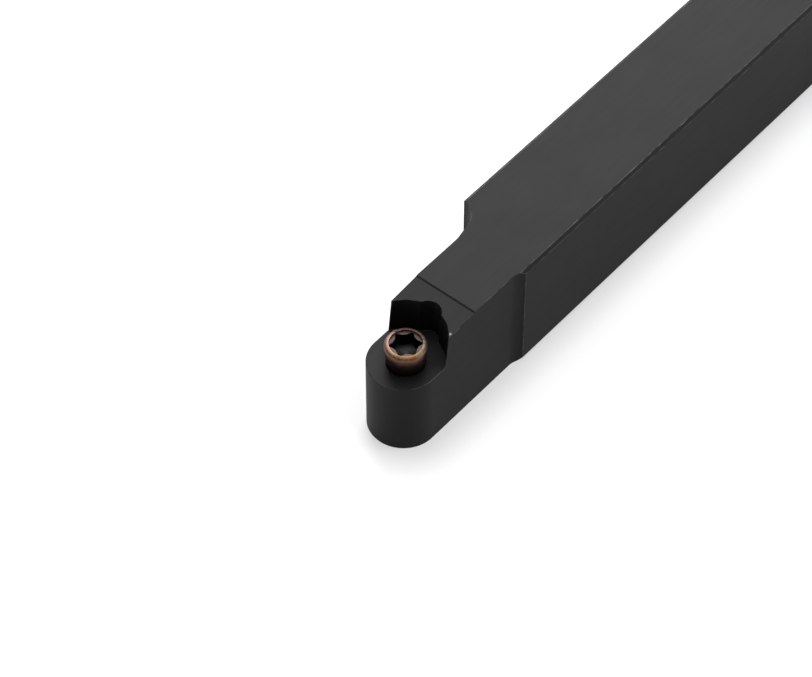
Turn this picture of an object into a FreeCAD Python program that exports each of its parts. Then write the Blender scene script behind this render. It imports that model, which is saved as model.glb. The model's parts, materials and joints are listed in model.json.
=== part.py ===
"""External turning tool holder for a round screw-held insert, with its insert screw.

Sizes are in millimetres. +X runs along the shank from the nose to the rear end and +Z is up.
The origin is the middle of the underside's rectangle, so the holder stands on z = 0.
The cutting side, which faces the work, is the -Y side.
"""
import FreeCAD, Part
import math
import os

Vector = FreeCAD.Vector
UP = Vector(0, 0, 1)

# Shank
OVERALL_LENGTH = 125.0
SHANK_HEIGHT = 20.0
SHANK_WIDTH = 16.0
SHANK_CHAMFER = 0.5
END_CHAMFER = 1.0

# Head, milled from the same bar
HEAD_LENGTH = 25.6
CUTTING_SIDE_STEP = 0.84
CUTTING_SIDE_FILLET = 3.5
SCOOP_RADIUS = 4.5
SCOOP_RISE = 0.47
SCOOP_REACH = 5.25
SCOOP_RAMP_ANGLE = 10.0
NOSE_SET_IN = 0.63

# Relief facet on top of the head
FACET_START = 9.3
FACET_STEP = 0.2
FACET_SLOPE = 5.0

# Insert pocket
SEAT_DEPTH = 6.5
POCKET_RADIUS = 6.1
POCKET_DRAFT = 3.4
RELIEF_RADIUS = 1.7
RELIEF_SET_IN = 0.75
BACK_END_CUT = 0.35
CUTTING_END_CUT = 0.15

# Screw hole. Its axis is set off from the nose's, so that the screw pulls the insert to the wall
PULL_IN_X = 0.21
PULL_IN_Y = -0.25

# Screw thread, drawn plain at its outside
THREAD_DIAMETER = 5.0
THREAD_CLEARANCE = 0.05
HOLE_CHAMFER = 0.4

# Insert screw
SCREW_LENGTH = 15.0
HEAD_DIAMETER = 6.3
HEAD_STANDOUT = 4.0
HEAD_EDGE_RADIUS = 0.5
HEAD_BAND = 0.6
NECK_DIAMETER = 5.6
UNDERSIDE_ANGLE = 45.0
MOUTH_DIAMETER = 5.9
SEATING_CLEARANCE = 0.035
TIP_CHAMFER = 0.5

# Six-lobe socket in the screw's head
SOCKET_LOBES = 6
SOCKET_MOUTH_DIAMETER = 4.92
SOCKET_MOUTH_DEPTH = 0.3
SOCKET_TIP_DIAMETER = 4.82
SOCKET_WAIST_DIAMETER = 3.65
SOCKET_TIP_ROUND = 0.32
SOCKET_DEPTH = 2.2
SOCKET_FLOOR_ANGLE = 12.0
SOCKET_TURN = 16.0

# How far a cutting tool's shape runs past the metal that it cuts
OVERCUT = 5.0

# Places worked out from the sizes above
TIP_X = -OVERALL_LENGTH / 2
REAR_X = OVERALL_LENGTH / 2
JUNCTION_X = TIP_X + HEAD_LENGTH
NOSE_RADIUS = POCKET_RADIUS - NOSE_SET_IN
CUTTING_SIDE_Y = CUTTING_SIDE_STEP - SHANK_WIDTH / 2
NOSE_X = TIP_X + NOSE_RADIUS
NOSE_Y = CUTTING_SIDE_Y + NOSE_RADIUS
BACK_SIDE_Y = NOSE_Y + NOSE_RADIUS
SCREW_X = NOSE_X + PULL_IN_X
SCREW_Y = NOSE_Y + PULL_IN_Y
SEAT_Z = SHANK_HEIGHT - SEAT_DEPTH
HOLE_RADIUS = THREAD_DIAMETER / 2 + THREAD_CLEARANCE
SCREW_TOP_Z = SEAT_Z + HEAD_STANDOUT
SCREW_END_Z = SCREW_TOP_Z - SCREW_LENGTH
SOCKET_PAD_Z = SCREW_TOP_Z - SOCKET_MOUTH_DEPTH


def prism(edges, height):
    """Solid raised straight up from a closed plan outline."""
    wire = Part.Wire(Part.__sortEdges__(edges))
    return Part.Face(wire).extrude(UP * height)


def turned(points, arcs=()):
    """Solid of revolution about the Z axis from (radius, height) points.

    arcs maps the place of a point to the middle point of an arc that runs from it to the next.
    """
    arcs = dict(arcs)
    corners = [Vector(radius, 0, height) for radius, height in points]
    edges = []
    for place, corner in enumerate(corners):
        following = corners[(place + 1) % len(corners)]
        if place in arcs:
            middle_radius, middle_height = arcs[place]
            middle = Vector(middle_radius, 0, middle_height)
            edges.append(Part.Arc(corner, middle, following).toShape())
        else:
            edges.append(Part.LineSegment(corner, following).toShape())
    profile = Part.Face(Part.Wire(edges))
    return profile.revolve(Vector(0, 0, 0), UP, 360)


def moved(shape, x, y):
    """The same shape, taken from the Z axis to the upright axis through x and y."""
    shape.translate(Vector(x, y, 0))
    return shape


def arc_run(radius, step):
    """Length along a side from an arc's tangent point to a face that lies step away."""
    reach = min(radius, step)
    return math.sqrt(radius**2 - (radius - reach)**2)


def bar_section(x, inset):
    """Section of the bar across its length, with cut corners, drawn in by inset on every side."""
    half_width = SHANK_WIDTH / 2 - inset
    low_z = inset
    high_z = SHANK_HEIGHT - inset
    cut_y = half_width - SHANK_CHAMFER
    cut_low = low_z + SHANK_CHAMFER
    cut_high = high_z - SHANK_CHAMFER
    corners = [
        Vector(x, -cut_y, low_z),
        Vector(x, cut_y, low_z),
        Vector(x, half_width, cut_low),
        Vector(x, half_width, cut_high),
        Vector(x, cut_y, high_z),
        Vector(x, -cut_y, high_z),
        Vector(x, -half_width, cut_high),
        Vector(x, -half_width, cut_low),
    ]
    return Part.makePolygon(corners + corners[:1])


def shank_bar():
    """The rectangular bar, full length, with its long edges and its rear end chamfered."""
    chamfer_x = REAR_X - END_CHAMFER
    full_section = bar_section(chamfer_x, 0)
    bar = Part.Face(full_section).extrude(Vector(TIP_X - chamfer_x, 0, 0))
    end = Part.makeLoft([full_section, bar_section(REAR_X, END_CHAMFER)], True, True)
    return bar.fuse(end)


def head_outline():
    """Plan of the head: round nose, straight neck, fillet on one side, ramp and scoop on the other.

    Behind the head the outline runs past the bar, so the shank keeps its own faces.
    """
    fillet_x = JUNCTION_X - arc_run(CUTTING_SIDE_FILLET, CUTTING_SIDE_STEP)
    fillet_y = CUTTING_SIDE_Y - CUTTING_SIDE_FILLET
    scoop_low_y = BACK_SIDE_Y + SCOOP_RISE
    scoop_x = JUNCTION_X + SCOOP_REACH - arc_run(SCOOP_RADIUS, SHANK_WIDTH / 2 - scoop_low_y)
    scoop_y = scoop_low_y + SCOOP_RADIUS
    ramp = math.radians(SCOOP_RAMP_ANGLE)
    ramp_end_x = scoop_x + SCOOP_RADIUS * math.sin(ramp)
    ramp_end_y = scoop_y - SCOOP_RADIUS * math.cos(ramp)
    ramp_x = ramp_end_x - (ramp_end_y - BACK_SIDE_Y) / math.tan(ramp)
    low_y = min(fillet_y, -SHANK_WIDTH / 2) - OVERCUT
    high_y = max(scoop_y, SHANK_WIDTH / 2) + OVERCUT
    far_x = REAR_X + OVERCUT
    corners = [
        Vector(scoop_x + SCOOP_RADIUS, scoop_y, 0),
        Vector(scoop_x + SCOOP_RADIUS, high_y, 0),
        Vector(far_x, high_y, 0),
        Vector(far_x, low_y, 0),
        Vector(fillet_x + CUTTING_SIDE_FILLET, low_y, 0),
        Vector(fillet_x + CUTTING_SIDE_FILLET, fillet_y, 0),
    ]
    neck_back = (Vector(NOSE_X, BACK_SIDE_Y, 0), Vector(ramp_x, BACK_SIDE_Y, 0))
    ramp_run = (Vector(ramp_x, BACK_SIDE_Y, 0), Vector(ramp_end_x, ramp_end_y, 0))
    neck_front = (Vector(NOSE_X, CUTTING_SIDE_Y, 0), Vector(fillet_x, CUTTING_SIDE_Y, 0))
    runs = list(zip(corners, corners[1:])) + [neck_back, ramp_run, neck_front]
    edges = [Part.LineSegment(start, end).toShape() for start, end in runs]
    edges.append(Part.makeCircle(NOSE_RADIUS, Vector(NOSE_X, NOSE_Y, 0), UP, 90, 270))
    edges.append(Part.makeCircle(CUTTING_SIDE_FILLET, Vector(fillet_x, fillet_y, 0), UP, 0, 90))
    scoop_start = 270 + SCOOP_RAMP_ANGLE
    edges.append(Part.makeCircle(SCOOP_RADIUS, Vector(scoop_x, scoop_y, 0), UP, scoop_start, 360))
    return edges


def facet_cutter():
    """Wedge that takes the top of the head down in a fine step and a slope towards the nose."""
    start_x = NOSE_X + FACET_START
    end_x = TIP_X - OVERCUT
    start_z = SHANK_HEIGHT - FACET_STEP
    end_z = start_z - (start_x - end_x) * math.tan(math.radians(FACET_SLOPE))
    side_y = SHANK_WIDTH / 2 + OVERCUT
    above_z = SHANK_HEIGHT + OVERCUT
    profile = [(start_x, start_z), (start_x, above_z), (end_x, above_z), (end_x, end_z)]
    corners = [Vector(x, -side_y, z) for x, z in profile]
    face = Part.Face(Part.makePolygon(corners + corners[:1]))
    return face.extrude(Vector(0, 2 * side_y, 0))


def wall_end_cutter(side, cut):
    """Cut that blunts the thin end of the pocket wall on one side of the neck, side being 1 or -1."""
    height = SEAT_DEPTH + OVERCUT
    top_radius = POCKET_RADIUS + height * math.tan(math.radians(POCKET_DRAFT))
    low_x = math.sqrt(POCKET_RADIUS**2 - NOSE_RADIUS**2) + cut
    high_x = math.sqrt(top_radius**2 - NOSE_RADIUS**2) + cut
    profile = [(0, SEAT_Z), (low_x, SEAT_Z), (high_x, SEAT_Z + height), (0, SEAT_Z + height)]
    corners = [Vector(x, side * NOSE_RADIUS / 2, z) for x, z in profile]
    face = Part.Face(Part.makePolygon(corners + corners[:1]))
    return face.extrude(Vector(0, side * (NOSE_RADIUS / 2 + OVERCUT), 0))


def pocket_cutter():
    """Insert pocket: a drafted round wall about the nose axis, and a relief with the same draft."""
    height = SEAT_DEPTH + OVERCUT
    widening = height * math.tan(math.radians(POCKET_DRAFT))
    wall = Part.makeCone(POCKET_RADIUS, POCKET_RADIUS + widening, height, Vector(0, 0, SEAT_Z))
    relief_place = Vector(POCKET_RADIUS - RELIEF_SET_IN, 0, SEAT_Z)
    relief = Part.makeCone(RELIEF_RADIUS, RELIEF_RADIUS + widening, height, relief_place)
    ends = [wall_end_cutter(1, BACK_END_CUT), wall_end_cutter(-1, CUTTING_END_CUT)]
    return moved(wall.fuse([relief] + ends), NOSE_X, NOSE_Y)


def screw_hole_cutter():
    """Through hole for the screw, with a cone at its mouth and a chamfer underneath."""
    mouth_radius = MOUTH_DIAMETER / 2
    cone_depth = (mouth_radius - HOLE_RADIUS) / math.tan(math.radians(UNDERSIDE_ANGLE))
    foot_radius = HOLE_RADIUS + HOLE_CHAMFER
    points = [
        (0, 0),
        (foot_radius, 0),
        (HOLE_RADIUS, HOLE_CHAMFER),
        (HOLE_RADIUS, SEAT_Z - cone_depth),
        (mouth_radius, SEAT_Z),
        (0, SEAT_Z),
    ]
    return moved(turned(points), SCREW_X, SCREW_Y)


def holder_body():
    """Shank and head in one piece of steel."""
    bar = shank_bar()
    body = bar.common(prism(head_outline(), SHANK_HEIGHT))
    for cutter in (facet_cutter(), pocket_cutter(), screw_hole_cutter()):
        body = body.cut(cutter)
    return body.removeSplitter()


def screw_blank():
    """The screw without its socket, turned about the Z axis and standing at its own height."""
    head_radius = HEAD_DIAMETER / 2
    neck_radius = NECK_DIAMETER / 2
    thread_radius = THREAD_DIAMETER / 2
    slope = math.tan(math.radians(UNDERSIDE_ANGLE))
    lift = SEATING_CLEARANCE / math.sin(math.radians(UNDERSIDE_ANGLE))
    neck_z = SEAT_Z - (MOUTH_DIAMETER / 2 - neck_radius) / slope + lift
    thread_z = neck_z - (neck_radius - thread_radius) / slope
    shoulder_z = SCREW_TOP_Z - HEAD_EDGE_RADIUS
    flat_radius = head_radius - HEAD_EDGE_RADIUS
    points = [
        (0, SCREW_END_Z),
        (thread_radius - TIP_CHAMFER, SCREW_END_Z),
        (thread_radius, SCREW_END_Z + TIP_CHAMFER),
        (thread_radius, thread_z),
        (neck_radius, neck_z),
        (head_radius, shoulder_z - HEAD_BAND),
        (head_radius, shoulder_z),
        (flat_radius, SCREW_TOP_Z),
        (0, SCREW_TOP_Z),
    ]
    diagonal = HEAD_EDGE_RADIUS * math.sqrt(0.5)
    edge_arc = {6: (flat_radius + diagonal, shoulder_z + diagonal)}
    return turned(points, edge_arc)


def lobe_edges(tip_radius, waist_radius, tip_round, height):
    """Arcs of a six-lobe outline, each small tip arc tangent to the waist arcs beside it."""
    half_turn = math.pi / SOCKET_LOBES
    tip_centre = tip_radius - tip_round
    side_on = tip_centre * math.cos(half_turn)
    excess = tip_centre**2 + waist_radius**2 - 2 * side_on * waist_radius - tip_round**2
    waist_round = excess / (2 * (side_on - waist_radius + tip_round))
    waist_centre = waist_radius + waist_round

    def point(radius, angle):
        return Vector(radius * math.cos(angle), radius * math.sin(angle), height)

    edges = []
    for lobe in range(SOCKET_LOBES):
        tip_angle = 2 * half_turn * lobe
        middle = point(tip_centre, tip_angle)
        joins = []
        for side in (-half_turn, half_turn):
            outer = point(waist_centre, tip_angle + side)
            joins.append(middle + (outer - middle) * (tip_round / (tip_round + waist_round)))
        following = point(tip_centre, tip_angle + 2 * half_turn)
        outer = point(waist_centre, tip_angle + half_turn)
        next_join = following + (outer - following) * (tip_round / (tip_round + waist_round))
        waist_middle = point(waist_radius, tip_angle + half_turn)
        edges.append(Part.Arc(joins[0], point(tip_radius, tip_angle), joins[1]).toShape())
        edges.append(Part.Arc(joins[1], waist_middle, next_join).toShape())
    return edges


def socket_cutter():
    """Six-lobe socket with a round mouth, flat pads between the lobes and a shallow cone floor."""
    tip_radius = SOCKET_TIP_DIAMETER / 2
    floor_z = SOCKET_PAD_Z - SOCKET_DEPTH
    floor_drop = tip_radius * math.tan(math.radians(SOCKET_FLOOR_ANGLE))
    mouth_radius = SOCKET_MOUTH_DIAMETER / 2
    mouth = Part.makeCylinder(mouth_radius, OVERCUT, Vector(0, 0, SOCKET_PAD_Z))
    lobes = prism(
        lobe_edges(tip_radius, SOCKET_WAIST_DIAMETER / 2, SOCKET_TIP_ROUND, floor_z - floor_drop),
        SOCKET_DEPTH + floor_drop + SOCKET_MOUTH_DEPTH,
    )
    bore = turned([
        (0, floor_z - floor_drop),
        (tip_radius, floor_z),
        (tip_radius + OVERCUT, floor_z),
        (tip_radius + OVERCUT, SCREW_TOP_Z + OVERCUT),
        (0, SCREW_TOP_Z + OVERCUT),
    ])
    socket = mouth.fuse(lobes.common(bore))
    socket.rotate(Vector(0, 0, 0), UP, SOCKET_TURN)
    return socket


def insert_screw():
    """Countersunk screw that holds the insert, home in the mouth of its hole."""
    return moved(screw_blank().cut(socket_cutter()), SCREW_X, SCREW_Y)


def main():
    """Build each piece and write it to its own file."""
    os.makedirs("parts", exist_ok=True)
    pieces = {"holder_body": holder_body(), "insert_screw": insert_screw()}
    for name, shape in pieces.items():
        solid = shape.Solids[0]
        box = solid.BoundBox
        print(name, "solids", len(shape.Solids), "valid", solid.isValid(), "volume", round(solid.Volume, 2))
        print("  low", round(box.XMin, 3), round(box.YMin, 3), round(box.ZMin, 3))
        print("  high", round(box.XMax, 3), round(box.YMax, 3), round(box.ZMax, 3))
        solid.exportStep("parts/" + name + ".step")


main()
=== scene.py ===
"""Looks of an external turning tool holder and its insert screw, in its photograph's light."""
import json
import logging
import math
from dataclasses import dataclass, field
from enum import Enum
from typing import Callable

import bmesh
import bpy
from mathutils import Euler, Matrix, Vector

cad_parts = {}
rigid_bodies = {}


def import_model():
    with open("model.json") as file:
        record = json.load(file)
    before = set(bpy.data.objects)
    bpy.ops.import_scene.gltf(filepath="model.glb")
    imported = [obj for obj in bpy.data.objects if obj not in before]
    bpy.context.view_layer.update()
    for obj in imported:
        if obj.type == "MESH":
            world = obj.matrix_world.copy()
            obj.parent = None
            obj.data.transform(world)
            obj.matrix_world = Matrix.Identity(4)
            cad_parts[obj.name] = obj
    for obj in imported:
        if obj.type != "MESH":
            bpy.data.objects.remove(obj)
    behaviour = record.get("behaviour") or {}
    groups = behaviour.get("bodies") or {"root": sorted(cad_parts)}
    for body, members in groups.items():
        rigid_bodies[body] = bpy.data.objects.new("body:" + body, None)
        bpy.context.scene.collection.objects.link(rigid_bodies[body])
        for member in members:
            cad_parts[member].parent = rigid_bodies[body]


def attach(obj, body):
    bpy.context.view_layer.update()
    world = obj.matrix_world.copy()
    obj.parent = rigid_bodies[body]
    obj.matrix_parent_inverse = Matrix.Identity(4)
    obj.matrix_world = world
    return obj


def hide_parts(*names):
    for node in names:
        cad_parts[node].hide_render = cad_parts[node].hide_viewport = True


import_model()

log = logging.getLogger("turning_tool_holder")

MM = 0.001
FRAME_WIDTH_PX = 812
SENSOR_WIDTH_MM = 36.0

# Blender's noise hardly leaves this range, so patterns are stretched from it.
NOISE_LOW = 0.3
NOISE_HIGH = 0.7
BUMP_STRENGTH = 0.5

Point = tuple[float, float, float]
Sockets = dict[str, object]


class BooleanKind(Enum):
    """What a boolean does with the second solid."""

    CUT = "DIFFERENCE"
    KEEP_COMMON = "INTERSECT"


class BodySkin(Enum):
    """Which steel a part of the body carries, by its place in the body's material list."""

    BLACK = 0
    RUBBED_AND_HIGHLIT = 1


class ScrewSkin(Enum):
    """Which finish a part of the screw carries, by its place in the screw's material list."""

    RIM = 0
    PADS = 1
    SIDE = 2
    SOCKET = 3


def linear(hex_colour: str) -> tuple[float, float, float, float]:
    """Turn an sRGB hex colour into linear values.

    Args:
        hex_colour: Six hex digits after a hash sign.

    Returns:
        Linear red, green and blue, and an alpha of 1.
    """
    values = [int(hex_colour[place:place + 2], 16) / 255 for place in (1, 3, 5)]
    turned = [v / 12.92 if v <= 0.04045 else ((v + 0.055) / 1.055) ** 2.4 for v in values]
    return (turned[0], turned[1], turned[2], 1.0)


def add_node(tree: bpy.types.NodeTree, kind: str, settings: Sockets | None = None,
             inputs: Sockets | None = None) -> bpy.types.Node:
    """Add a node with its settings, and set or link its inputs.

    Args:
        tree: Node tree that the node joins.
        kind: Blender's name of the node type.
        settings: Attributes to set on the node.
        inputs: Input name to a value, or to an output socket that is linked to it.

    Returns:
        The new node.
    """
    node = tree.nodes.new(kind)
    for name, value in (settings or {}).items():
        setattr(node, name, value)
    for name, value in (inputs or {}).items():
        socket = node.inputs[int(name)] if name.isdigit() else node.inputs[name]
        if isinstance(value, bpy.types.NodeSocket):
            tree.links.new(value, socket)
        else:
            socket.default_value = value
    return node


def new_material(name: str) -> tuple[bpy.types.Material, bpy.types.NodeTree]:
    """Make an empty node material.

    Args:
        name: The material's plain name.

    Returns:
        The material and its cleared node tree.
    """
    material = bpy.data.materials.new(name)
    material.use_nodes = True
    material.node_tree.nodes.clear()
    return material, material.node_tree


def ramp(tree: bpy.types.NodeTree, source: bpy.types.NodeSocket,
         stops: list[tuple[float, tuple[float, float, float, float]]]) -> bpy.types.NodeSocket:
    """Turn a grey pattern into colours.

    Args:
        tree: Node tree that the ramp joins.
        source: Grey pattern from 0 to 1.
        stops: Place and linear colour of each stop, in order.

    Returns:
        The ramp's colour output.
    """
    node = add_node(tree, "ShaderNodeValToRGB", inputs={"Fac": source})
    elements = node.color_ramp.elements
    for position, colour in stops[1:-1]:
        elements.new(position).color = colour
    for element, (position, colour) in ((elements[0], stops[0]), (elements[-1], stops[-1])):
        element.position = position
        element.color = colour
    return node.outputs["Color"]


@dataclass(frozen=True)
class BlackOxideSteel:
    """Tool steel, milled and ground, then blackened in a hot oxide bath.

    The bath leaves a thin, dull black skin over bare metal: the eye gets a dark, even grey with a
    broad soft sheen and no sharp reflection, faint clouds where the skin is thicker, and hardly
    visible lines of the grinding wheel along the shank. One small spot by the pocket wall's thin
    end is painted bright bare steel: partly a nick, partly a painted glint.
    """

    name: str = "black_oxide_tool_steel"
    dark: str = "#2a2a2b"
    light: str = "#2c2c2c"
    cloud_size_mm: float = 7.0
    grain_size_mm: float = 0.12
    grinding_line_mm: float = 0.35
    grinding_length_mm: float = 9.0
    # Bright bare steel of the nick, which is also a painted glint at the pocket wall's thin end.
    bare_steel_glint: str = "#9a9a9a"
    nick_glint_size_mm: float = 0.6
    metallic: float = 1.0
    roughness_low: float = 0.59
    roughness_high: float = 0.62
    bump_height_mm: float = 0.0004

    def make(self, nick_glint: Vector) -> bpy.types.Material:
        """Make the material.

        Args:
            nick_glint: Middle of the nick and its painted glint, in metres.

        Returns:
            The blackened steel.
        """
        material, tree = new_material(self.name)
        place = add_node(tree, "ShaderNodeTexCoord").outputs["Object"]
        clouds = add_node(tree, "ShaderNodeTexNoise", inputs={
            "Vector": place, "Scale": 1 / (self.cloud_size_mm * MM), "Detail": 4.0})
        grain = add_node(tree, "ShaderNodeTexNoise", inputs={
            "Vector": place, "Scale": 1 / (self.grain_size_mm * MM), "Detail": 2.0})
        along = 1 / (self.grinding_length_mm * MM)
        across = 1 / (self.grinding_line_mm * MM)
        stretched = add_node(tree, "ShaderNodeMapping", inputs={
            "Vector": place, "Scale": (along, across, across)})
        lines = add_node(tree, "ShaderNodeTexNoise", inputs={
            "Vector": stretched.outputs["Vector"], "Scale": 1.0, "Detail": 3.0})
        skin = ramp(tree, clouds.outputs["Fac"], [
            (NOISE_LOW, linear(self.dark)), (NOISE_HIGH, linear(self.light))])
        away = add_node(tree, "ShaderNodeVectorMath", {"operation": "DISTANCE"}, {
            "0": place, "1": nick_glint})
        # Painted glint: a small round spot of bright bare steel about the nick's middle.
        nick_glint_mask = add_node(tree, "ShaderNodeMapRange", inputs={
            "Value": away.outputs["Value"], "From Min": 0.0, "From Max": self.nick_glint_size_mm * MM / 2,
            "To Min": 1.0, "To Max": 0.0})
        colour = add_node(tree, "ShaderNodeMixRGB", inputs={
            "Fac": nick_glint_mask.outputs["Result"], "Color1": skin, "Color2": linear(self.bare_steel_glint)})
        sheen = add_node(tree, "ShaderNodeMapRange", inputs={
            "Value": lines.outputs["Fac"], "From Min": NOISE_LOW, "From Max": NOISE_HIGH,
            "To Min": self.roughness_low, "To Max": self.roughness_high})
        mixed = add_node(tree, "ShaderNodeMath", {"operation": "ADD"}, {
            "0": lines.outputs["Fac"], "1": grain.outputs["Fac"]})
        bump = add_node(tree, "ShaderNodeBump", inputs={
            "Strength": BUMP_STRENGTH, "Distance": self.bump_height_mm * MM,
            "Height": mixed.outputs["Value"]})
        shader = add_node(tree, "ShaderNodeBsdfPrincipled", inputs={
            "Base Color": colour.outputs["Color"], "Metallic": self.metallic,
            "Roughness": sheen.outputs["Result"], "Normal": bump.outputs["Normal"]})
        add_node(tree, "ShaderNodeOutputMaterial", inputs={"Surface": shader.outputs["BSDF"]})
        return material


@dataclass(frozen=True)
class BurnishedEdgeWithHighlight:
    """The same blackened steel where handling has rubbed its sharp edges.

    The skin is thinner there, so the edges draw a thin, lighter and glossier line that comes and
    goes with the wear. The lighter colour is also a painted highlight along the edges, where they
    catch the light.
    """

    name: str = "burnished_edge_with_painted_highlight"
    # Lighter steel of the rubbed edges, which is also a painted highlight along them.
    colour: str = "#545250"
    wear_starts: float = 0.4
    patch_size_mm: float = 1.6
    metallic: float = 1.0
    roughness: float = 0.5

    def make(self) -> bpy.types.Material:
        """Make the material.

        Returns:
            The rubbed edge steel.
        """
        material, tree = new_material(self.name)
        place = add_node(tree, "ShaderNodeTexCoord").outputs["Object"]
        patches = add_node(tree, "ShaderNodeTexNoise", inputs={
            "Vector": place, "Scale": 1 / (self.patch_size_mm * MM), "Detail": 4.0})
        colour = ramp(tree, patches.outputs["Fac"], [
            (self.wear_starts, linear(BlackOxideSteel.light)), (NOISE_HIGH, linear(self.colour))])
        shader = add_node(tree, "ShaderNodeBsdfPrincipled", inputs={
            "Base Color": colour, "Metallic": self.metallic, "Roughness": self.roughness})
        add_node(tree, "ShaderNodeOutputMaterial", inputs={"Surface": shader.outputs["BSDF"]})
        return material


@dataclass(frozen=True)
class HeatTintWithPaintedLight:
    """Cold-headed alloy steel of the screw's rim: hardening heat tint, oil, painted light and
    shade.

    The heat leaves a thin oxide whose colour changes round the rim, from rose over khaki, tan,
    orange and gold to a grey brown and a dark plum, with small flecks. The ramp round the rim is
    partly painted light and shade: lighter tones on the near and left sides, a painted orange
    highlight on the near side, and painted shade in smoke grey and dark plum on the far side. An
    oil film gives it a soft gloss.
    """

    name: str = "heat_tint_and_painted_light_rim"
    khaki: str = "#977957"
    umber: str = "#74543a"
    tan: str = "#8a6e5a"
    orange: str = "#8a5636"
    gold: str = "#847259"
    grey_brown: str = "#6f5f54"
    smoke: str = "#453b37"
    plum: str = "#472f2f"
    rose: str = "#9a7e76"
    fleck_size_mm: float = 0.4
    fleck_drift: float = 0.34
    metallic: float = 1.0
    roughness_low: float = 0.54
    roughness_high: float = 0.62
    bump_height_mm: float = 0.002

    def stops(self) -> list[tuple[float, str]]:
        """Heat tint and painted light and shade round the rim.

        Returns:
            Place of each colour as a share of the turn, counted from the nose, and the colour.
        """
        # Lighter stops on the near and left sides and the orange are painted light; smoke and plum
        # on the far side are painted shade.
        return [(0.0, self.khaki), (0.06, self.umber), (0.12, self.tan), (0.17, self.orange),
                (0.24, self.gold), (0.33, self.grey_brown), (0.42, self.smoke),
                (0.66, self.plum), (0.79, self.rose), (0.92, self.rose), (1.0, self.khaki)]

    def make(self, axis: Vector) -> bpy.types.Material:
        """Make the material.

        Args:
            axis: Point on the screw's axis, in metres.

        Returns:
            The heat-toned steel.
        """
        material, tree = new_material(self.name)
        place = add_node(tree, "ShaderNodeTexCoord").outputs["Object"]
        flecks = add_node(tree, "ShaderNodeTexNoise", inputs={
            "Vector": place, "Scale": 1 / (self.fleck_size_mm * MM), "Detail": 4.0})
        centred = add_node(tree, "ShaderNodeMapping", inputs={
            "Vector": place, "Location": (-axis.x, -axis.y, 0.0)})
        way_round_tint_and_light = add_node(tree, "ShaderNodeTexGradient", {"gradient_type": "RADIAL"}, {
            "Vector": centred.outputs["Vector"]})
        drift = add_node(tree, "ShaderNodeMapRange", inputs={
            "Value": flecks.outputs["Fac"],
            "To Min": -self.fleck_drift / 2, "To Max": self.fleck_drift / 2})
        turned = add_node(tree, "ShaderNodeMath", {"operation": "ADD"}, {
            "0": way_round_tint_and_light.outputs["Fac"], "1": drift.outputs["Result"]})
        # Heat tint together with painted light and shade, set by the way round the rim.
        tint_and_painted_light = ramp(tree, turned.outputs["Value"], [
            (share, linear(colour)) for share, colour in self.stops()])
        gloss = add_node(tree, "ShaderNodeMapRange", inputs={
            "Value": flecks.outputs["Fac"], "From Min": NOISE_LOW, "From Max": NOISE_HIGH,
            "To Min": self.roughness_low, "To Max": self.roughness_high})
        bump = add_node(tree, "ShaderNodeBump", inputs={
            "Strength": BUMP_STRENGTH, "Distance": self.bump_height_mm * MM,
            "Height": flecks.outputs["Fac"]})
        shader = add_node(tree, "ShaderNodeBsdfPrincipled", inputs={
            "Base Color": tint_and_painted_light, "Metallic": self.metallic,
            "Roughness": gloss.outputs["Result"], "Normal": bump.outputs["Normal"]})
        add_node(tree, "ShaderNodeOutputMaterial", inputs={"Surface": shader.outputs["BSDF"]})
        return material


@dataclass(frozen=True)
class HardeningScaleWithShade:
    """Thin oxide scale that the hardening furnace leaves on the screw where nothing rubs it off.

    The steel's gloss comes dulled through it: the eye gets a deep red brown below the rim and
    mauve pads in the socket's mouth. The colour darkens further down from the rim, and the socket
    is a dark grey, near black: both are painted shade.
    """

    name: str
    upper: str
    lower_shade: str
    metallic: float = 1.0
    fleck_size_mm: float = 0.5
    shade_fade_mm: float = 1.6
    shade_until: float = 0.05
    upper_from: float = 0.55
    roughness_low: float = 0.34
    roughness_high: float = 0.46
    bump_height_mm: float = 0.002

    def make(self, rim_z: float) -> bpy.types.Material:
        """Make the material.

        Args:
            rim_z: Height where the rim ends and the scale begins, in metres.

        Returns:
            The scaled steel.
        """
        material, tree = new_material(self.name)
        place = add_node(tree, "ShaderNodeTexCoord").outputs["Object"]
        flecks = add_node(tree, "ShaderNodeTexNoise", inputs={
            "Vector": place, "Scale": 1 / (self.fleck_size_mm * MM), "Detail": 4.0})
        height = add_node(tree, "ShaderNodeSeparateXYZ", inputs={"Vector": place}).outputs["Z"]
        # Painted shade: the colour darkens over the last millimetres below the rim, towards the
        # lower colour.
        shade_by_height = add_node(tree, "ShaderNodeMapRange", inputs={
            "Value": height, "From Min": rim_z - self.shade_fade_mm * MM, "From Max": rim_z})
        speckled_shade = add_node(tree, "ShaderNodeMath", {"operation": "MULTIPLY"}, {
            "0": shade_by_height.outputs["Result"], "1": flecks.outputs["Fac"]})
        colour = ramp(tree, speckled_shade.outputs["Value"], [
            (self.shade_until, linear(self.lower_shade)), (self.upper_from, linear(self.upper))])
        gloss = add_node(tree, "ShaderNodeMapRange", inputs={
            "Value": flecks.outputs["Fac"], "From Min": NOISE_LOW, "From Max": NOISE_HIGH,
            "To Min": self.roughness_low, "To Max": self.roughness_high})
        bump = add_node(tree, "ShaderNodeBump", inputs={
            "Strength": BUMP_STRENGTH, "Distance": self.bump_height_mm * MM,
            "Height": flecks.outputs["Fac"]})
        shader = add_node(tree, "ShaderNodeBsdfPrincipled", inputs={
            "Base Color": colour, "Metallic": self.metallic,
            "Roughness": gloss.outputs["Result"], "Normal": bump.outputs["Normal"]})
        add_node(tree, "ShaderNodeOutputMaterial", inputs={"Surface": shader.outputs["BSDF"]})
        return material


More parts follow.
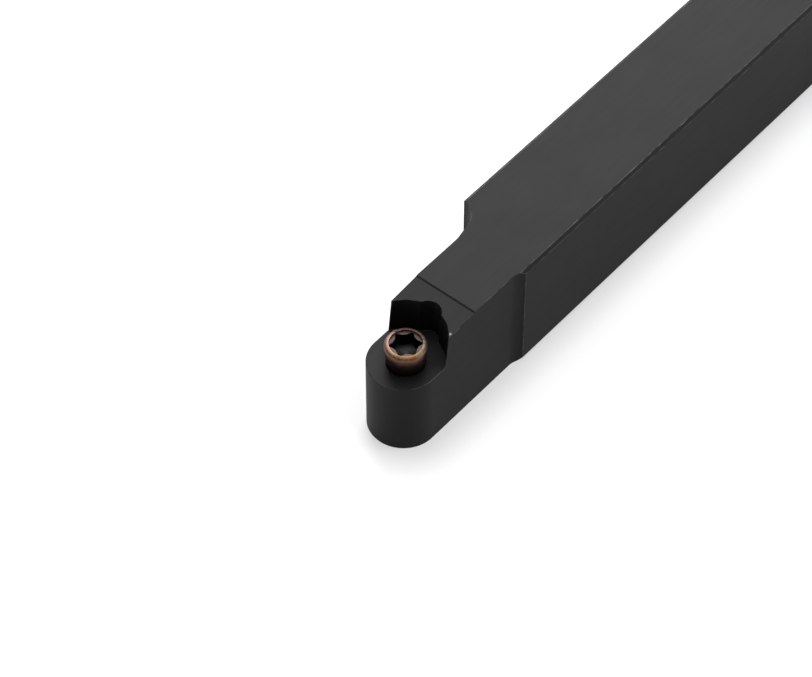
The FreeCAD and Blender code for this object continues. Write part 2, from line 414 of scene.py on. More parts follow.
@dataclass(frozen=True)
class PaperSweep:
    """Matt white paper under the holder, lit to white with the holder's soft shadow on it.

    The lift to white grows over the first millimetres from the holder's foot, so that the shadow
    stays as narrow as in the photograph.
    """

    name: str = "white_paper_sweep"
    paper: str = "#b5b5b5"
    lift_at_foot: float = 0.51
    lift_away: float = 0.70
    lift_grows_over_mm: float = 5.0
    lift_in_metal: float = 0.45

    def make(self, place: "InsertPlace") -> bpy.types.Material:
        """Make the material.

        Args:
            place: The holder's outside sizes.

        Returns:
            Paper that is full white away from the shadow, and nearly so where metal mirrors it.
        """
        material, tree = new_material(self.name)
        corner = place.nose_radius
        core = Vector((place.overall_length / 2 - corner, place.shank_width / 2 - corner, 0)) * MM
        spot = add_node(tree, "ShaderNodeTexCoord").outputs["Object"]
        mirrored = add_node(tree, "ShaderNodeVectorMath", {"operation": "ABSOLUTE"}, {"0": spot})
        past_core = add_node(tree, "ShaderNodeVectorMath", {"operation": "SUBTRACT"}, {
            "0": mirrored.outputs["Vector"], "1": core})
        outside = add_node(tree, "ShaderNodeVectorMath", {"operation": "MAXIMUM"}, {
            "0": past_core.outputs["Vector"], "1": (0.0, 0.0, 0.0)})
        away = add_node(tree, "ShaderNodeVectorMath", {"operation": "LENGTH"}, {
            "0": outside.outputs["Vector"]})
        lift = add_node(tree, "ShaderNodeMapRange", inputs={
            "Value": away.outputs["Value"], "From Min": corner * MM,
            "From Max": (corner + self.lift_grows_over_mm) * MM,
            "To Min": self.lift_at_foot, "To Max": self.lift_away})
        path = add_node(tree, "ShaderNodeLightPath")
        to_eye = add_node(tree, "ShaderNodeMath", {"operation": "MULTIPLY"}, {
            "0": path.outputs["Is Camera Ray"], "1": lift.outputs["Result"]})
        to_metal = add_node(tree, "ShaderNodeMath", {"operation": "MAXIMUM"}, {
            "0": path.outputs["Is Glossy Ray"], "1": path.outputs["Is Transmission Ray"]})
        in_metal = add_node(tree, "ShaderNodeMath", {"operation": "MULTIPLY"}, {
            "0": to_metal.outputs["Value"], "1": self.lift_in_metal})
        strength = add_node(tree, "ShaderNodeMath", {"operation": "ADD"}, {
            "0": to_eye.outputs["Value"], "1": in_metal.outputs["Value"]})
        glow = add_node(tree, "ShaderNodeEmission", inputs={"Strength": strength.outputs["Value"]})
        paper = add_node(tree, "ShaderNodeBsdfDiffuse", inputs={"Color": linear(self.paper)})
        both = add_node(tree, "ShaderNodeAddShader", inputs={
            "0": glow.outputs["Emission"], "1": paper.outputs["BSDF"]})
        add_node(tree, "ShaderNodeOutputMaterial", inputs={"Surface": both.outputs["Shader"]})
        return material


def solid_from(name: str, bm: bmesh.types.BMesh) -> bpy.types.Object:
    """Turn a bmesh into a linked object and free it.

    Args:
        name: Name of the object and its mesh.
        bm: Closed mesh, in millimetres.

    Returns:
        The new object.
    """
    bmesh.ops.recalc_face_normals(bm, faces=bm.faces)
    mesh = bpy.data.meshes.new(name)
    bm.to_mesh(mesh)
    bm.free()
    piece = bpy.data.objects.new(name, mesh)
    bpy.context.scene.collection.objects.link(piece)
    return piece


def extruded(name: str, outline: list[Point], along: Vector) -> bpy.types.Object:
    """Raise a closed outline into a solid.

    Args:
        name: Name of the solid.
        outline: Corners of a flat closed outline, in order.
        along: Direction and length of the extrusion.

    Returns:
        The solid.
    """
    bm = bmesh.new()
    face = bm.faces.new([bm.verts.new(corner) for corner in outline])
    grown = bmesh.ops.extrude_face_region(bm, geom=[face])
    moved = [item for item in grown["geom"] if isinstance(item, bmesh.types.BMVert)]
    bmesh.ops.translate(bm, verts=moved, vec=along)
    return solid_from(name, bm)


def lathed(name: str, profile: list[tuple[float, float]], steps: int) -> bpy.types.Object:
    """Turn a profile about the Z axis into a closed solid.

    Args:
        name: Name of the solid.
        profile: Radius and height of each ring, from the bottom to the top.
        steps: Number of points round each ring.

    Returns:
        The solid.
    """
    bm = bmesh.new()
    angles = [2 * math.pi * step / steps for step in range(steps)]
    rings = [[bm.verts.new((r * math.cos(a), r * math.sin(a), z)) for a in angles]
             for r, z in profile]
    for low, high in zip(rings, rings[1:]):
        for step in range(steps):
            after = (step + 1) % steps
            bm.faces.new((low[step], low[after], high[after], high[step]))
    bm.faces.new(list(reversed(rings[0])))
    bm.faces.new(rings[-1])
    return solid_from(name, bm)


def applied(piece: bpy.types.Object) -> bpy.types.Object:
    """Apply a piece's modifiers to its mesh.

    Args:
        piece: Object with modifiers.

    Returns:
        The same object, with no modifier left.
    """
    graph = bpy.context.evaluated_depsgraph_get()
    mesh = bpy.data.meshes.new_from_object(piece.evaluated_get(graph))
    old = piece.data
    piece.modifiers.clear()
    piece.data = mesh
    bpy.data.meshes.remove(old)
    mesh.name = piece.name
    return piece


def put_in_order(piece: bpy.types.Object) -> None:
    """Sort a mesh's corners and faces by their place.

    A boolean gives them in a new order on each run, and what is built on them would differ.

    Args:
        piece: Object whose mesh is sorted.
    """
    old = piece.data
    places = [tuple(vertex.co) for vertex in old.vertices]
    order = sorted(range(len(places)), key=places.__getitem__)
    rank = {before: after for after, before in enumerate(order)}
    faces = []
    for polygon in old.polygons:
        ring = [rank[corner] for corner in polygon.vertices]
        first = ring.index(min(ring))
        faces.append(ring[first:] + ring[:first])
    mesh = bpy.data.meshes.new(piece.name)
    mesh.from_pydata([places[corner] for corner in order], [], sorted(faces))
    piece.data = mesh
    bpy.data.meshes.remove(old)
    mesh.name = piece.name


def combined(piece: bpy.types.Object, other: bpy.types.Object,
             kind: BooleanKind) -> bpy.types.Object:
    """Cut a solid with another, or keep what they share, and delete the other.

    Args:
        piece: Solid that stays.
        other: Solid that is used up.
        kind: What is done with it.

    Returns:
        The changed piece.
    """
    modifier = piece.modifiers.new("shape", "BOOLEAN")
    modifier.operation = kind.value
    modifier.solver = "EXACT"
    modifier.object = other
    put_in_order(applied(piece))
    bpy.data.objects.remove(other, do_unlink=True)
    return piece


def arc_points(centre: tuple[float, float], radius: float, start: float, end: float,
               steps: int) -> list[tuple[float, float]]:
    """Points along an arc in plan.

    Args:
        centre: Centre of the arc.
        radius: Its radius.
        start: First angle in degrees.
        end: Last angle in degrees.
        steps: Number of parts that the arc is divided in.

    Returns:
        The points, both ends included.
    """
    angles = [math.radians(start + (end - start) * step / steps) for step in range(steps + 1)]
    return [(centre[0] + radius * math.cos(a), centre[1] + radius * math.sin(a)) for a in angles]


@dataclass
class InsertPlace:
    """What the head and the screw share: the nose's axis and the seat, in millimetres."""

    overall_length: float = 125.0
    shank_width: float = 16.0
    shank_height: float = 20.0
    pocket_radius: float = 6.1
    nose_set_in: float = 0.63
    side_step: float = 0.84
    seat_depth: float = 6.5
    pull_in: Point = (0.21, -0.25, 0.0)
    thread_diameter: float = 5.0
    thread_clearance: float = 0.05
    mouth_diameter: float = 5.9

    @property
    def nose_radius(self) -> float:
        """Radius of the nose, set in from the insert's edge."""
        return self.pocket_radius - self.nose_set_in

    @property
    def nose(self) -> Vector:
        """Point on the nose's axis, at the underside."""
        x = self.nose_radius - self.overall_length / 2
        y = self.side_step + self.nose_radius - self.shank_width / 2
        return Vector((x, y, 0))

    @property
    def screw_axis(self) -> Vector:
        """Point on the screw's axis, set off from the nose's towards the pocket wall."""
        return self.nose + Vector(self.pull_in)

    @property
    def seat_z(self) -> float:
        """Height of the insert's seat."""
        return self.shank_height - self.seat_depth


@dataclass
class HolderBody:
    """Shank and head of the holder, one piece of blackened steel."""

    place: InsertPlace
    shank_chamfer: float = 0.5
    end_chamfer: float = 1.0
    head_length: float = 25.6
    side_fillet: float = 3.5
    scoop_radius: float = 4.5
    scoop_rise: float = 0.47
    scoop_reach: float = 5.25
    scoop_ramp_angle: float = 10.0
    facet_start: float = 9.3
    facet_step: float = 0.15
    facet_slope: float = 5.0
    facet_lean: float = 50.0
    pocket_draft: float = 3.4
    relief_radius: float = 1.7
    relief_set_in: float = 0.75
    back_end_cut: float = 0.35
    cutting_end_cut: float = 0.15
    hole_chamfer: float = 0.4
    overcut: float = 5.0
    edge_break: float = 0.08
    edge_angle: float = 20.0
    # Offset of the nick and its painted glint from the wall's corner.
    nick_glint_offset: Point = (0.7, 0.4, 0.0)
    nose_steps: int = 90
    corner_steps: int = 40
    wall_steps: int = 180
    relief_steps: int = 72
    hole_steps: int = 96
    merge_distance: float = 0.03
    flat_angle: float = 0.3
    step_band: float = 0.4
    wall_margin: float = 0.3
    upright_limit: float = 0.3

    @staticmethod
    def arc_run(radius: float, step: float) -> float:
        """Length from an arc's tangent point to a face that lies step away."""
        reach = min(radius, step)
        return math.sqrt(radius ** 2 - (radius - reach) ** 2)

    def section(self, x: float, inset: float) -> list[Point]:
        """Corners of the bar's section, drawn in by inset."""
        half = self.place.shank_width / 2 - inset
        low, high = inset, self.place.shank_height - inset
        cut = self.shank_chamfer
        flat = [(-half + cut, low), (half - cut, low), (half, low + cut), (half, high - cut),
                (half - cut, high), (-half + cut, high), (-half, high - cut), (-half, low + cut)]
        return [(x, y, z) for y, z in flat]

    def bar(self) -> bpy.types.Object:
        """The bar with its chamfered long edges and rear end.

        Returns:
            The bar over the holder's full length.
        """
        half = self.place.overall_length / 2
        bm = bmesh.new()
        places = [(-half, 0.0), (half - self.end_chamfer, 0.0), (half, self.end_chamfer)]
        rings = [[bm.verts.new(corner) for corner in self.section(x, inset)] for x, inset in places]
        for low, high in zip(rings, rings[1:]):
            for step in range(len(low)):
                after = (step + 1) % len(low)
                bm.faces.new((low[step], low[after], high[after], high[step]))
        bm.faces.new(rings[0])
        bm.faces.new(rings[-1])
        return solid_from("holder_body_steel", bm)

    def outline(self) -> list[Point]:
        """Plan of the head, run out past the bar behind it.

        Returns:
            Corners of the closed outline, below the underside.
        """
        nose = self.place.nose
        radius = self.place.nose_radius
        half_width = self.place.shank_width / 2
        junction = self.head_length - self.place.overall_length / 2
        fillet = (junction - self.arc_run(self.side_fillet, self.place.side_step),
                  nose.y - radius - self.side_fillet)
        back_y = nose.y + radius
        scoop_low = back_y + self.scoop_rise
        scoop_run = self.arc_run(self.scoop_radius, half_width - scoop_low)
        scoop = (junction + self.scoop_reach - scoop_run, scoop_low + self.scoop_radius)
        slope = math.radians(self.scoop_ramp_angle)
        ramp_end = (scoop[0] + self.scoop_radius * math.sin(slope),
                    scoop[1] - self.scoop_radius * math.cos(slope))
        far = self.place.overall_length / 2 + self.overcut
        out = half_width + self.overcut
        flat = arc_points((nose.x, nose.y), radius, 90, 270, self.nose_steps)
        flat += arc_points(fillet, self.side_fillet, 90, 0, self.corner_steps)
        flat += [(fillet[0] + self.side_fillet, -out), (far, -out), (far, out),
                 (scoop[0] + self.scoop_radius, out)]
        scoop_start = 270 + self.scoop_ramp_angle
        flat += arc_points(scoop, self.scoop_radius, 360, scoop_start, self.corner_steps)
        flat.append((ramp_end[0] - (ramp_end[1] - back_y) / math.tan(slope), back_y))
        return [(x, y, -self.overcut) for x, y in flat]

    def facet(self) -> bpy.types.Object:
        """Wedge that lowers the top of the head towards the nose.

        Returns:
            The cutting solid.
        """
        start = self.place.nose.x + self.facet_start
        end = -self.place.overall_length / 2 - self.overcut
        high = self.place.shank_height - self.facet_step
        low = high - (start - end) * math.tan(math.radians(self.facet_slope))
        above = self.place.shank_height + self.overcut
        lean = (above - high) * math.tan(math.radians(self.facet_lean))
        side = self.place.shank_width
        outline = [(start, -side, high), (start + lean, -side, above),
                   (end, -side, above), (end, -side, low)]
        return extruded("facet_cutter", outline, Vector((0, 2 * side, 0)))

    def nick_glint(self) -> Vector:
        """Middle of the nick and its painted glint, by the top corner of the pocket wall's thin end
        on the cutting side.

        Returns:
            The point, in millimetres.
        """
        draft = math.tan(math.radians(self.pocket_draft))
        slope = math.tan(math.radians(self.facet_slope))
        wall = self.place.pocket_radius + self.place.seat_depth * draft
        reach = math.sqrt(wall ** 2 - self.place.nose_radius ** 2) + self.cutting_end_cut
        drop = self.facet_step + (self.facet_start - reach) * slope
        corner = Vector((reach, -self.place.nose_radius, self.place.shank_height - drop))
        return self.place.nose + corner + Vector(self.nick_glint_offset)

    def wall_end(self, side: int, cut: float) -> bpy.types.Object:
        """Cut that blunts the thin end of the pocket wall.

        Args:
            side: 1 for the neck's back side, -1 for its cutting side.
            cut: How far the thin end is cut back along the holder.

        Returns:
            The cutting solid.
        """
        height = self.place.seat_depth + self.overcut
        low = self.place.pocket_radius
        high = low + height * math.tan(math.radians(self.pocket_draft))
        seat, radius = self.place.seat_z, self.place.nose_radius
        low_x = math.sqrt(low ** 2 - radius ** 2) + cut
        high_x = math.sqrt(high ** 2 - radius ** 2) + cut
        start = side * radius / 2
        profile = [(0, start, seat), (low_x, start, seat),
                   (high_x, start, seat + height), (0, start, seat + height)]
        depth = Vector((0, side * (radius / 2 + self.overcut), 0))
        end = extruded("wall_end_cutter", profile, depth)
        end.data.transform(Matrix.Translation(self.place.nose))
        return end

    def pocket(self) -> list[bpy.types.Object]:
        """Round drafted wall of the pocket, the relief behind it and the cuts at the wall's ends.

        Returns:
            The cutting solids.
        """
        height = self.place.seat_depth + self.overcut
        widening = height * math.tan(math.radians(self.pocket_draft))
        low = self.place.pocket_radius
        seat = self.place.seat_z
        wall = lathed("wall_cutter", [
            (low, seat), (low + widening, seat + height)], self.wall_steps)
        relief = lathed("relief_cutter", [
            (self.relief_radius, seat),
            (self.relief_radius + widening, seat + height)], self.relief_steps)
        wall.data.transform(Matrix.Translation(self.place.nose))
        behind = Vector((low - self.relief_set_in, 0, 0))
        relief.data.transform(Matrix.Translation(self.place.nose + behind))
        ends = [self.wall_end(1, self.back_end_cut), self.wall_end(-1, self.cutting_end_cut)]
        return [wall, relief, *ends]

    def screw_hole(self) -> bpy.types.Object:
        """Through hole with its cone mouth and its chamfer underneath.

        Returns:
            The cutting solid.
        """
        bore = self.place.thread_diameter / 2 + self.place.thread_clearance
        mouth = self.place.mouth_diameter / 2
        seat = self.place.seat_z
        foot = bore + self.hole_chamfer
        profile = [(foot, -self.overcut), (foot, 0), (bore, self.hole_chamfer),
                   (bore, seat - mouth + bore), (mouth, seat), (mouth, seat + self.overcut)]
        hole = lathed("hole_cutter", profile, self.hole_steps)
        hole.data.transform(Matrix.Translation(self.place.screw_axis))
        return hole

    def build(self) -> bpy.types.Object:
        """Build the holder's body with sharp edges, in millimetres.

        Returns:
            The body's mesh object.
        """
        body = self.bar()
        height = self.place.shank_height + 2 * self.overcut
        plan = extruded("head_plan", self.outline(), Vector((0, 0, height)))
        combined(body, plan, BooleanKind.KEEP_COMMON)
        for cutter in [self.facet(), *self.pocket(), self.screw_hole()]:
            combined(body, cutter, BooleanKind.CUT)
        bm = bmesh.new()
        bm.from_mesh(body.data)
        bmesh.ops.remove_doubles(bm, verts=bm.verts, dist=self.merge_distance)
        bmesh.ops.dissolve_limit(bm, angle_limit=math.radians(self.flat_angle),
                                 verts=bm.verts, edges=bm.edges)
        bm.to_mesh(body.data)
        bm.free()
        return body

    def keeps_plain_skin(self, centre: Vector, normal: Vector) -> bool:
        """Tell whether a face keeps the plain black skin, with neither rubbing nor painted edge
        highlight: on the facet's step or in the pocket.

        Args:
            centre: The face's middle, in millimetres.
            normal: The face's normal.

        Returns:
            True for a face that keeps its full black skin.
        """
        from_nose = centre - self.place.nose
        radius = self.place.nose_radius
        by_step = abs(from_nose.x - self.facet_start) < self.step_band
        on_step = by_step and centre.z > self.place.shank_height - self.step_band
        past_wall = from_nose.x > radius / 2
        in_pocket = past_wall and abs(from_nose.y) < radius - self.wall_margin
        along_step = abs(normal.y) < self.upright_limit
        upright = abs(normal.z) < self.upright_limit
        return (on_step and along_step) or (in_pocket and upright)

    def dress(self, body: bpy.types.Object, steel: bpy.types.Material,
              edge: bpy.types.Material) -> None:
        """Break the edges, shade the body, give it its steel and turn it to metres.

        Args:
            body: The body's mesh object, in millimetres.
            steel: Blackened steel of its faces.
            edge: Rubbed steel of its edges, lighter as a painted highlight.
        """
        body.data.materials.append(steel)
        body.data.materials.append(edge)
        for polygon in body.data.polygons:
            polygon.use_smooth = True
        bevel = body.modifiers.new("broken_edges", "BEVEL")
        bevel.width = self.edge_break
        bevel.segments = 2
        bevel.use_clamp_overlap = False
        bevel.limit_method = "ANGLE"
        bevel.angle_limit = math.radians(self.edge_angle)
        # The bevels get the rubbed steel with its painted edge highlight.
        bevel.material = BodySkin.RUBBED_AND_HIGHLIT.value
        even = body.modifiers.new("even_faces", "WEIGHTED_NORMAL")
        even.mode = "FACE_AREA"
        even.weight = 100
        applied(body)
        for vertex in body.data.vertices:
            vertex.co.z = min(max(vertex.co.z, 0.0), self.place.shank_height)
        for polygon in body.data.polygons:
            if self.keeps_plain_skin(polygon.center, polygon.normal):
                polygon.material_index = BodySkin.BLACK.value
        body.data.transform(Matrix.Scale(MM, 4))


@dataclass
class InsertScrew:
    """Countersunk insert screw with a six-lobe socket, home in its hole."""

    place: InsertPlace
    length: float = 15.0
    head_diameter: float = 6.3
    head_standout: float = 4.0
    head_edge_radius: float = 0.5
    rim_groove: float = 0.04
    rim_groove_step: int = 3
    head_band: float = 0.6
    neck_diameter: float = 5.6
    seating_clearance: float = 0.035
    tip_chamfer: float = 0.5
    pitch: float = 0.8
    thread_depth: float = 0.42
    crest_fullness: float = 1.35
    flank_slope: float = 3.6
    runout_slope: float = 0.6
    socket_lobes: int = 6
    mouth_diameter: float = 4.92
    mouth_depth: float = 0.3
    tip_diameter: float = 4.82
    waist_diameter: float = 3.65
    tip_round: float = 0.32
    socket_depth: float = 2.2
    floor_angle: float = 12.0
    socket_turn: float = 16.0
    lip: float = 0.04
    lip_middle: float = 0.3
    dome_steps: int = 12
    steps: int = 240
    rows_per_turn: int = 12
    merge_distance: float = 0.0008
    sharp_angle: float = 35.0

    @property
    def top(self) -> float:
        """Height of the head's top."""
        return self.place.seat_z + self.head_standout

    @property
    def thread_radius(self) -> float:
        """Outside radius of the thread."""
        return self.place.thread_diameter / 2

    @property
    def neck_z(self) -> float:
        """Height where the seating cone meets the head's side."""
        gap = (self.place.mouth_diameter - self.neck_diameter) / 2
        return self.place.seat_z - gap + self.seating_clearance * math.sqrt(2)

    @property
    def thread_z(self) -> float:
        """Height where the seating cone meets the thread."""
        return self.neck_z - self.neck_diameter / 2 + self.thread_radius

    def lobe_radius(self, angle: float) -> float:
        """Radius of the socket's outline at an angle.

        Args:
            angle: Angle from a lobe's tip, in radians.

        Returns:
            The radius in millimetres.
        """
        half_turn = math.pi / self.socket_lobes
        tip_centre = self.tip_diameter / 2 - self.tip_round
        waist = self.waist_diameter / 2
        side_on = tip_centre * math.cos(half_turn)
        excess = tip_centre ** 2 + waist ** 2 - 2 * side_on * waist - self.tip_round ** 2
        waist_round = excess / (2 * (side_on - waist + self.tip_round))
        waist_centre = waist + waist_round
        from_tip = (angle + half_turn) % (2 * half_turn) - half_turn
        share = self.tip_round / (self.tip_round + waist_round)
        across = waist_centre * math.sin(half_turn) * share
        along = tip_centre + (waist_centre * math.cos(half_turn) - tip_centre) * share
        if abs(from_tip) <= math.atan2(across, along):
            spread = self.tip_round ** 2 - (tip_centre * math.sin(from_tip)) ** 2
            return tip_centre * math.cos(from_tip) + math.sqrt(spread)
        off = half_turn - abs(from_tip)
        spread = waist_round ** 2 - (waist_centre * math.sin(off)) ** 2
        return waist_centre * math.cos(off) - math.sqrt(spread)

    def thread_rows(self) -> list[list[Vector]]:
        """Points of the thread, row by row up the helix.

        Returns:
            Rows of points; the last point of a row meets the first of the row one turn later.
        """
        low, high = self.top - self.length, self.thread_z
        turns = (high - low) / self.pitch + 2
        core = self.thread_radius - self.thread_depth
        rows = []
        for row in range(math.ceil(turns * self.rows_per_turn) + 1):
            phase = (row % self.rows_per_turn) / self.rows_per_turn
            flank = self.crest_fullness - abs(phase - 0.5) * self.flank_slope
            ridge = min(1.0, max(0.0, flank))
            points = []
            for step in range(self.steps):
                share = step / self.steps
                z = low + (row / self.rows_per_turn - 1 + share) * self.pitch
                z = min(max(z, low), high)
                tip = self.thread_radius - self.tip_chamfer + (z - low)
                runout = self.thread_radius - (high - z) * self.runout_slope
                radius = min(core + self.thread_depth * ridge, max(tip, 0.0))
                radius = max(radius, min(runout, self.thread_radius))
                angle = 2 * math.pi * share
                points.append(Vector((radius * math.cos(angle), radius * math.sin(angle), z)))
            rows.append(points)
        return rows

    def add_thread(self, bm: bmesh.types.BMesh) -> None:
        """Add the thread and the flat at the screw's end.

        Args:
            bm: Mesh that the thread joins, about the Z axis.
        """
        rows = [[bm.verts.new(point) for point in row] for row in self.thread_rows()]
        turn = self.rows_per_turn
        last = self.steps - 1
        for row, (low, high) in enumerate(zip(rows, rows[1:])):
            for step in range(last):
                bm.faces.new((low[step], low[step + 1], high[step + 1], high[step]))
            if row + 1 + turn < len(rows):
                bm.faces.new((low[last], rows[row + turn][0], rows[row + 1 + turn][0], high[last]))
        for face in bm.faces:
            face.material_index = ScrewSkin.SIDE.value

    def head_rings(self) -> list[tuple[Callable[[float], float], float, ScrewSkin]]:
        """Rings of the head, from the thread's end up, over the rim and down into the socket.

        Returns:
            For each ring, a function from angle to radius, its height, and the skin of the strip
            that comes before it.
        """
        head = self.head_diameter / 2
        shoulder = self.top - self.head_edge_radius
        mouth = self.mouth_diameter / 2
        pads = self.top - self.mouth_depth
        floor = pads - self.socket_depth
        drop = math.tan(math.radians(self.floor_angle))
        turn = math.radians(self.socket_turn)

        def round_ring(radius: float) -> Callable[[float], float]:
            """A round ring's radius at every angle."""
            return lambda angle: radius

        def lobe_ring(inset: float) -> Callable[[float], float]:
            """The socket outline's radius, drawn in by inset."""
            return lambda angle: self.lobe_radius(angle - turn) - inset

        rim, side = ScrewSkin.RIM, ScrewSkin.SIDE
        flat_pads, socket = ScrewSkin.PADS, ScrewSkin.SOCKET
        rings = [(round_ring(self.thread_radius), self.thread_z, side),
                 (round_ring(self.neck_diameter / 2), self.neck_z, side),
                 (round_ring(head), shoulder - self.head_band, side)]
        lip = self.lip
        middle = lip * self.lip_middle
        flat = mouth + lip
        for step in range(self.dome_steps + 1):
            angle = math.pi / 2 * step / self.dome_steps
            sink = self.rim_groove if step == self.rim_groove_step else 0.0
            radius = flat + (head - flat) * math.cos(angle) - sink * math.cos(angle)
            height = shoulder + self.head_edge_radius * math.sin(angle) - sink * math.sin(angle)
            rings.append((round_ring(radius), height, rim if step else side))
        rings += [(round_ring(mouth + middle), self.top - middle, rim),
                  (round_ring(mouth), self.top - lip, rim),
                  (round_ring(mouth), pads, flat_pads),
                  (lobe_ring(-lip), pads, flat_pads),
                  (lobe_ring(-middle), pads - middle, flat_pads),
                  (lobe_ring(0.0), pads - lip, flat_pads),
                  (lobe_ring(0.0), floor, socket)]
        drill = self.waist_diameter / 2 - 2 * lip
        for share in (1.0, 0.75, 0.5, 0.25):
            rings.append((round_ring(drill * share), floor - drill * (1 - share) * drop, socket))
        return rings

    def build(self) -> bpy.types.Object:
        """Build the screw, in millimetres.

        Returns:
            The screw's mesh object.
        """
        bm = bmesh.new()
        self.add_thread(bm)
        angles = [2 * math.pi * step / self.steps for step in range(self.steps)]
        rings, skins = [], []
        for radius_at, z, skin in self.head_rings():
            radii = [radius_at(angle) for angle in angles]
            rings.append([bm.verts.new((r * math.cos(a), r * math.sin(a), z))
                          for r, a in zip(radii, angles)])
            skins.append(skin.value)
        for low, high, skin in zip(rings, rings[1:], skins[1:]):
            for step in range(self.steps):
                after = (step + 1) % self.steps
                face = bm.faces.new((low[step], low[after], high[after], high[step]))
                face.material_index = skin
        drop = math.tan(math.radians(self.floor_angle)) * rings[-1][0].co.xy.length
        centre = bm.verts.new((0, 0, rings[-1][0].co.z - drop))
        for step in range(self.steps):
            cone = bm.faces.new((rings[-1][step], rings[-1][(step + 1) % self.steps], centre))
            cone.material_index = ScrewSkin.SOCKET.value
        bmesh.ops.remove_doubles(bm, verts=bm.verts, dist=self.merge_distance)
        bmesh.ops.dissolve_degenerate(bm, edges=bm.edges, dist=self.merge_distance)
        open_edges = [edge for edge in bm.edges if edge.is_boundary]
        bmesh.ops.contextual_create(bm, geom=open_edges)
        return solid_from("insert_screw_steel", bm)

    def dress(self, screw: bpy.types.Object,
              skins: dict[ScrewSkin, bpy.types.Material]) -> None:
        """Stand the screw in its hole, in metres, and give it its finishes.

        Args:
            screw: The screw's mesh object, in millimetres about the Z axis.
            skins: The material of each skin.
        """
        for skin in ScrewSkin:
            screw.data.materials.append(skins[skin])
        for polygon in screw.data.polygons:
            polygon.use_smooth = True
        screw.data.transform(Matrix.Scale(MM, 4) @ Matrix.Translation(self.place.screw_axis))
        screw.data.set_sharp_from_angle(angle=math.radians(self.sharp_angle))


@dataclass(frozen=True)
class SoftBox:
    """A soft rectangular lamp."""

    name: str
    place: Point
    target: Point
    width: float
    height: float
    radiance: float

    def build(self) -> None:
        """Add the lamp to the scene, facing its target."""
        lamp = bpy.data.lights.new(self.name, "AREA")
        lamp.shape = "RECTANGLE"
        lamp.size = self.width
        lamp.size_y = self.height
        lamp.energy = self.radiance * math.pi * self.width * self.height
        holder = bpy.data.objects.new(self.name, lamp)
        holder.location = self.place
        aim = Vector(self.target) - Vector(self.place)
        holder.rotation_euler = aim.to_track_quat("-Z", "Y").to_euler()
        bpy.context.scene.collection.objects.link(holder)


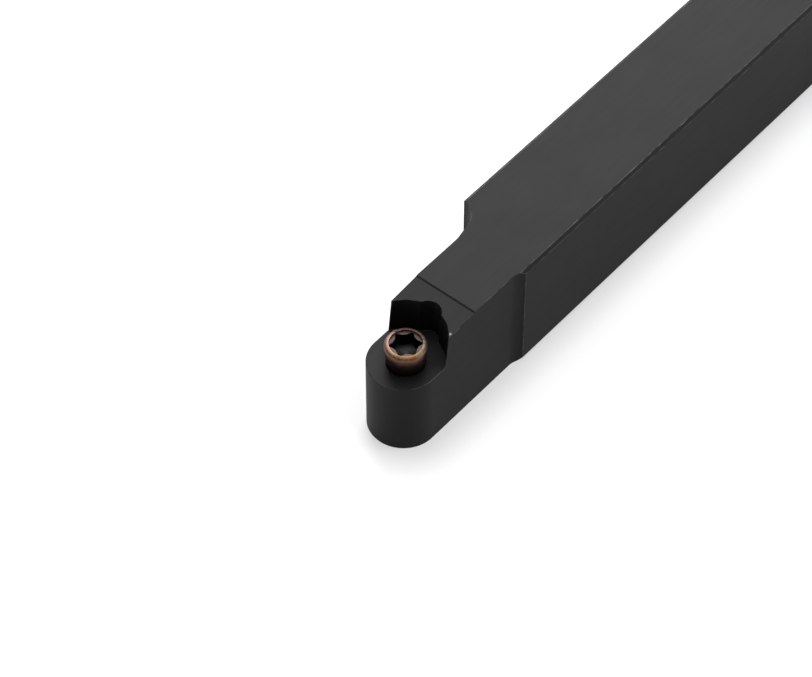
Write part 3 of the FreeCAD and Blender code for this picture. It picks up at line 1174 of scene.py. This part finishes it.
@dataclass
class Studio:
    """Paper sweep, soft lamps and the camera."""

    place: InsertPlace
    floor_size: float = 6.0
    world_grey: str = "#ffffff"
    world_strength: float = 0.02
    focal_px: float = 3167.04
    camera_place: Point = (-0.2785, -0.188772, 0.365268)
    heading: float = 40.072
    descent: float = 50.102
    roll: float = 0.036
    lamps: list[SoftBox] = field(default_factory=lambda: [
        SoftBox("top_softbox", (0.0, 0.0, 1.2), (0.0, 0.0, 0.0), 1.2, 1.2, 1.7),
        SoftBox("back_softbox", (0.3, 0.36, 1.05), (0.0, 0.0, 0.0), 0.9, 0.9, 1.3),
        SoftBox("low_back_softbox", (0.87, 0.72, 0.72), (0.0, 0.0, 0.0), 0.9, 0.6, 11.6),
        SoftBox("right_softbox", (0.6, -0.7, 0.7), (-0.03, 0.0, 0.01), 0.6, 0.6, 0.5),
        SoftBox("low_right_softbox", (0.6, -0.75, 0.4), (-0.03, 0.0, 0.01), 0.5, 0.3, 8.4),
    ])

    def floor(self, paper: bpy.types.Material) -> None:
        """Lay the paper under the holder.

        Args:
            paper: The paper's material.
        """
        bm = bmesh.new()
        bmesh.ops.create_grid(bm, x_segments=2, y_segments=2, size=self.floor_size / 2)
        sheet = solid_from("paper_sweep", bm)
        sheet.data.materials.append(paper)

    def world(self) -> None:
        """Fill the room with even pale light."""
        world = bpy.data.worlds.new("pale_room")
        bpy.context.scene.world = world
        world.use_nodes = True
        world.node_tree.nodes.clear()
        sky = add_node(world.node_tree, "ShaderNodeBackground", inputs={
            "Color": linear(self.world_grey), "Strength": self.world_strength})
        add_node(world.node_tree, "ShaderNodeOutputWorld", inputs={
            "Surface": sky.outputs["Background"]})

    def camera(self) -> None:
        """Stand the camera where the photograph was taken from."""
        data = bpy.data.cameras.new("camera")
        data.sensor_width = SENSOR_WIDTH_MM
        data.lens = self.focal_px / FRAME_WIDTH_PX * SENSOR_WIDTH_MM
        data.clip_start = 0.01
        data.clip_end = 20.0
        camera = bpy.data.objects.new("camera", data)
        camera.location = self.camera_place
        tilt = math.radians(90 - self.descent)
        turn = math.radians(self.heading - 90)
        camera.rotation_euler = Euler((tilt, math.radians(self.roll), turn), "XYZ")
        bpy.context.scene.collection.objects.link(camera)
        bpy.context.scene.camera = camera

    def build(self) -> None:
        """Set up the whole studio."""
        self.floor(PaperSweep().make(self.place))
        self.world()
        for lamp in self.lamps:
            lamp.build()
        self.camera()
        view = bpy.context.scene.view_settings
        view.view_transform = "Standard"


def main() -> None:
    """Build the studio and the pieces, and report each one."""
    logging.basicConfig(level=logging.INFO, format="%(name)s: %(message)s")
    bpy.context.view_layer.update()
    place = InsertPlace()
    Studio(place).build()

    holder = HolderBody(place)
    body = holder.build()
    holder.dress(body, BlackOxideSteel().make(holder.nick_glint() * MM), BurnishedEdgeWithHighlight().make())
    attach(body, "holder")
    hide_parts("holder_body")
    log.info("holder body: %d faces", len(body.data.polygons))

    fastener = InsertScrew(place)
    screw = fastener.build()
    rim_z = (fastener.top - fastener.mouth_depth) * MM
    # The scale darkens below the rim as painted shade, and the socket's dark grey is painted shade
    # too.
    on_pads = HardeningScaleWithShade("mauve_scale_on_pads", "#665753", "#5a4b4b",
                             roughness_low=0.66, roughness_high=0.76)
    on_side = HardeningScaleWithShade("red_brown_scale_with_painted_shade", "#815b53", "#42332f")
    in_socket = HardeningScaleWithShade("painted_shade_in_socket", "#2e302f", "#2c2d2c")
    fastener.dress(screw, {
        ScrewSkin.RIM: HeatTintWithPaintedLight().make(place.screw_axis * MM),
        ScrewSkin.PADS: on_pads.make(rim_z),
        ScrewSkin.SIDE: on_side.make(rim_z),
        ScrewSkin.SOCKET: in_socket.make(rim_z),
    })
    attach(screw, "screw")
    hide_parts("insert_screw")
    log.info("insert screw: %d faces", len(screw.data.polygons))


if __name__ == "__main__":
    main()
